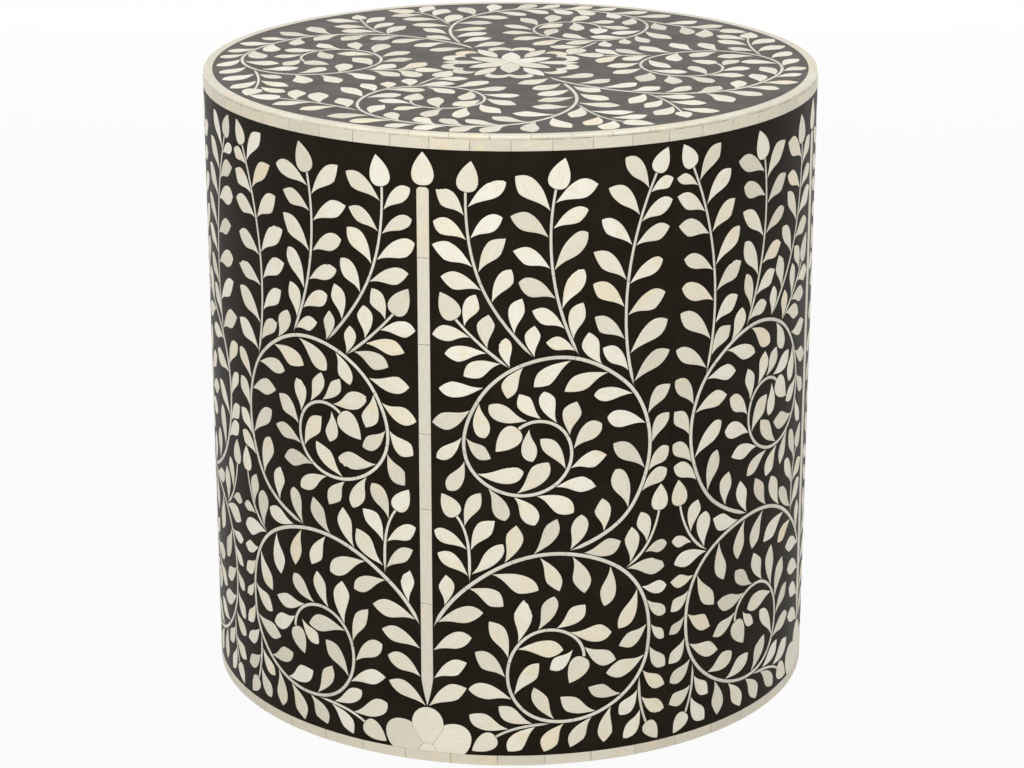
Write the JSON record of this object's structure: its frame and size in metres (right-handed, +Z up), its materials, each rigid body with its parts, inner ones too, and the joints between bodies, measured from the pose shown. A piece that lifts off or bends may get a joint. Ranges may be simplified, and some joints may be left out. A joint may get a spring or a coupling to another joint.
{
  "type": "drum side table",
  "caption": "Round drum side table of wood, covered in scrolling leaf and vine inlay of pale bone set in dark resin, with a flat top and a closed base.",
  "frame": {"origin": "centre of the underside, on the floor", "axes": "+Z up along the axis of the drum, -Y towards the strip that faces the front"},
  "size_m": [0.45, 0.45, 0.46],
  "materials": {
    "core_wood": "plain sawn",
    "dark_resin": "satin, rubbed down",
    "bone_leaf": "satin bone, hand cut",
    "bone_strip": "satin bone",
    "bone_stem": "satin bone, greyer",
    "bone_band": "satin bone"
  },
  "bodies": {
    "root": {"base_panel": "core_wood", "drum_wall": "core_wood", "top_panel": "core_wood", "base_band": "bone_band", "rim_band": "bone_band", "top_ring": "bone_band", "wall_resin_front": "dark_resin", "wall_resin_right": "dark_resin", "wall_resin_back": "dark_resin", "wall_resin_left": "dark_resin", "top_resin": "dark_resin", "strip_front": "bone_strip", "flower_front": "bone_leaf", "stems_front": "bone_stem", "leaves_front": "bone_leaf", "buds_front": "bone_leaf", "strip_right": "bone_strip", "flower_right": "bone_leaf", "stems_right": "bone_stem", "leaves_right": "bone_leaf", "buds_right": "bone_leaf", "strip_back": "bone_strip", "flower_back": "bone_leaf", "stems_back": "bone_stem", "leaves_back": "bone_leaf", "buds_back": "bone_leaf", "strip_left": "bone_strip", "flower_left": "bone_leaf", "stems_left": "bone_stem", "leaves_left": "bone_leaf", "buds_left": "bone_leaf", "finials": "bone_leaf", "rosette_petals": "bone_leaf", "rosette_leaves": "bone_leaf", "rosette_frame": "bone_leaf", "top_stems": "bone_stem", "top_leaves": "bone_leaf", "top_buds": "bone_leaf"}
  },
  "joints": []
}
